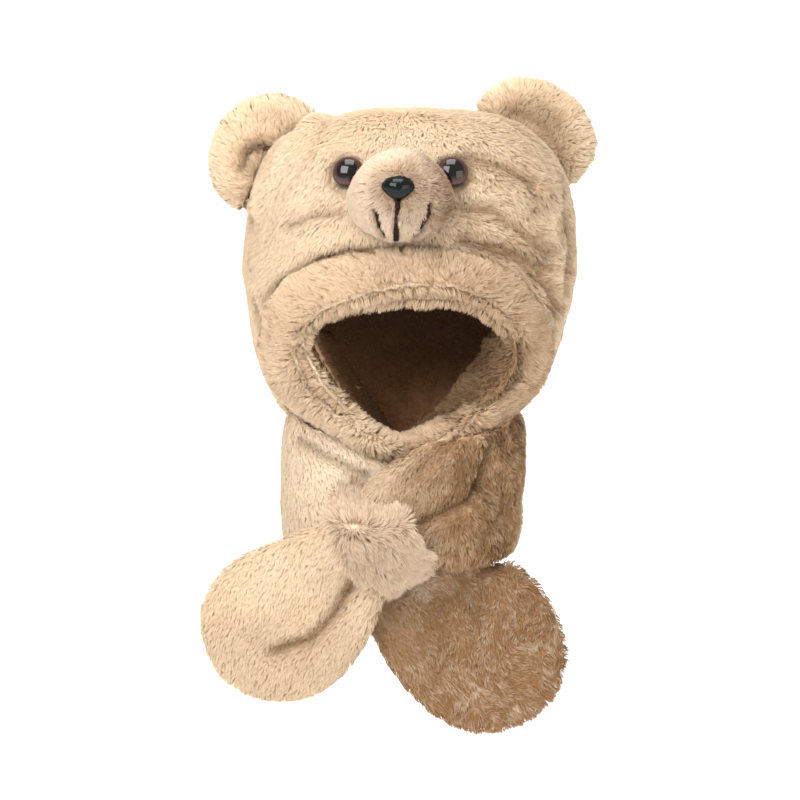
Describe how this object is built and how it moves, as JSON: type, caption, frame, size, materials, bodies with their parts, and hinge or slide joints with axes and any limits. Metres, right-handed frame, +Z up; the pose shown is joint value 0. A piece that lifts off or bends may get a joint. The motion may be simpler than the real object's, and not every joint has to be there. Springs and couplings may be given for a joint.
{
  "type": "animal hood scarf",
  "caption": "Plush bear hood with ears, muzzle, glossy eyes and nose, a rolled face opening, and a scarf that crosses at the throat through a keeper loop.",
  "frame": {"origin": "inside the crown, where it rests on the top of the wearer's head", "axes": "+Z up, the face looks along -Y, +X to the wearer's left"},
  "size_m": [0.2888, 0.2507, 0.4767],
  "materials": {
    "fur": "deep soft pile, tan with darker roots",
    "muzzle_fur": "short soft pile, paler",
    "lining": "short brushed fleece",
    "eye_plastic": "clear gloss over a brown ring and a black pupil",
    "nose_plastic": "high gloss black"
  },
  "bodies": {
    "root": {"hood_shell": "fur", "hood_lining": "lining", "face_brim": "fur", "ear_left": "fur", "ear_right": "fur", "muzzle": "muzzle_fur", "nose": "nose_plastic", "eye_left": "eye_plastic", "eye_right": "eye_plastic", "scarf_over": "fur", "scarf_under": "fur", "keeper_loop": "fur"}
  },
  "joints": []
}
